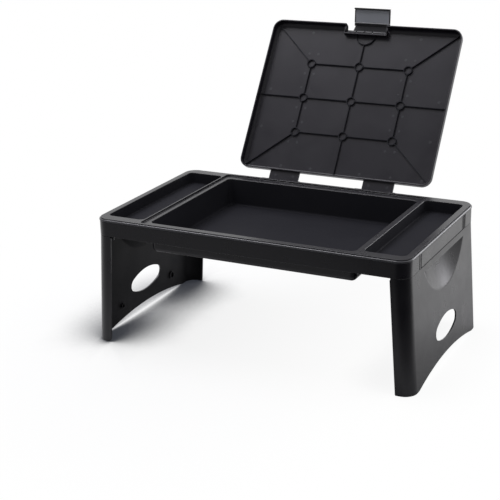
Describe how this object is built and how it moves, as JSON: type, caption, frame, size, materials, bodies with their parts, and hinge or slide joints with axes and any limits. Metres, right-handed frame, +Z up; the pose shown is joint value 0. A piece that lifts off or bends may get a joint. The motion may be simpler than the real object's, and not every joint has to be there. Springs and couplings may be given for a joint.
{
  "type": "lap desk with lift lid",
  "caption": "Moulded lap desk: a deep lidded well between side trays, a hinged ribbed lid with a latch flap, and legs that fold flat under the tray.",
  "frame": {"origin": "on the floor, in the middle of the bounding box of the desk as it stands with its legs out, lid open and latch open", "axes": "+X to the user's right along the desk's width, +Y from the user to the hinge side, +Z up"},
  "size_m": [0.5712, 0.548, 0.4987],
  "materials": {
    "tray_plastic": "moulded black polypropylene, satin, fine texture",
    "lid_plastic": "moulded black polypropylene, satin, fine texture",
    "latch_plastic": "moulded black polypropylene, satin, smooth",
    "leg_plastic": "moulded black polypropylene, satin, fine texture",
    "steel_pin": "plain drawn steel wire"
  },
  "bodies": {
    "tray": {"tray": "tray_plastic", "left_hinge_pin": "steel_pin", "right_hinge_pin": "steel_pin"},
    "lid": {"lid": "lid_plastic", "latch_pin": "steel_pin"},
    "latch": {"latch": "latch_plastic"},
    "left_leg": {"left_leg": "leg_plastic", "left_front_leg_pin": "steel_pin", "left_back_leg_pin": "steel_pin"},
    "right_leg": {"right_leg": "leg_plastic", "right_front_leg_pin": "steel_pin", "right_back_leg_pin": "steel_pin"}
  },
  "joints": [
    {"name": "lid_hinge", "type": "hinge", "parent": "tray", "child": "lid", "pos_m": [0, 0.05696, 0.213], "axis": [1, 0, 0], "range_deg": [0, 124.3]},
    {"name": "latch_hinge", "type": "hinge", "parent": "lid", "child": "latch", "pos_m": [0, 0.24359, 0.45731], "axis": [1, 0, 0], "range_deg": [0, 60]},
    {"name": "left_leg_hinge", "type": "hinge", "parent": "tray", "child": "left_leg", "pos_m": [-0.2492, -0.11154, 0.1855], "axis": [0, -1, 0], "range_deg": [0, 93.5]},
    {"name": "right_leg_hinge", "type": "hinge", "parent": "tray", "child": "right_leg", "pos_m": [0.2492, -0.11154, 0.1855], "axis": [0, 1, 0], "range_deg": [0, 93.5]}
  ]
}
